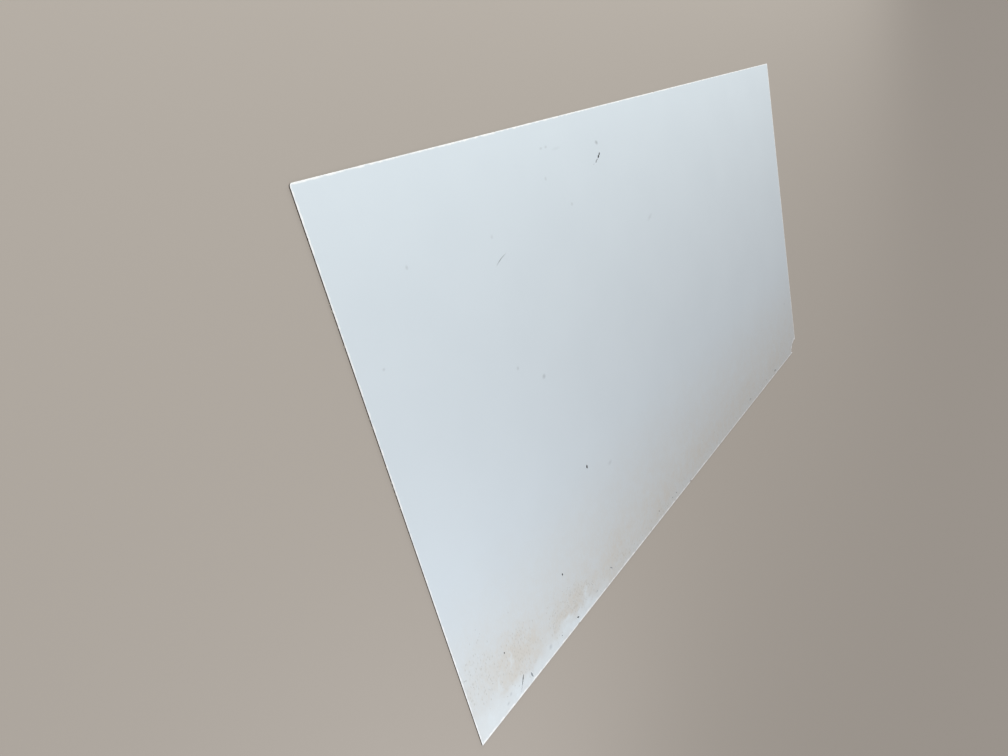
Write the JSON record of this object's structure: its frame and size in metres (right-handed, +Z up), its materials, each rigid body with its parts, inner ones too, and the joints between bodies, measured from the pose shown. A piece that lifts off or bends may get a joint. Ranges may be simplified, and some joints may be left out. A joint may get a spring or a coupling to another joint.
{
  "type": "decorative laminate sheet",
  "caption": "Full white decorative laminate board, flat and thin, with a dark pressed-fibre body, sawn edges and one corner broken off.",
  "frame": {"origin": "middle of the underside, on the surface that the sheet lies on", "axes": "+X along the sheet's length, towards the end with the broken corner; +Y across it, away from the long edge with the broken corner; +Z up, out of the white decor face"},
  "size_m": [2.4384, 1.2192, 0.0032],
  "materials": {
    "white_melamine_board": "satin"
  },
  "bodies": {
    "root": {"laminate_sheet": "white_melamine_board"}
  },
  "joints": []
}
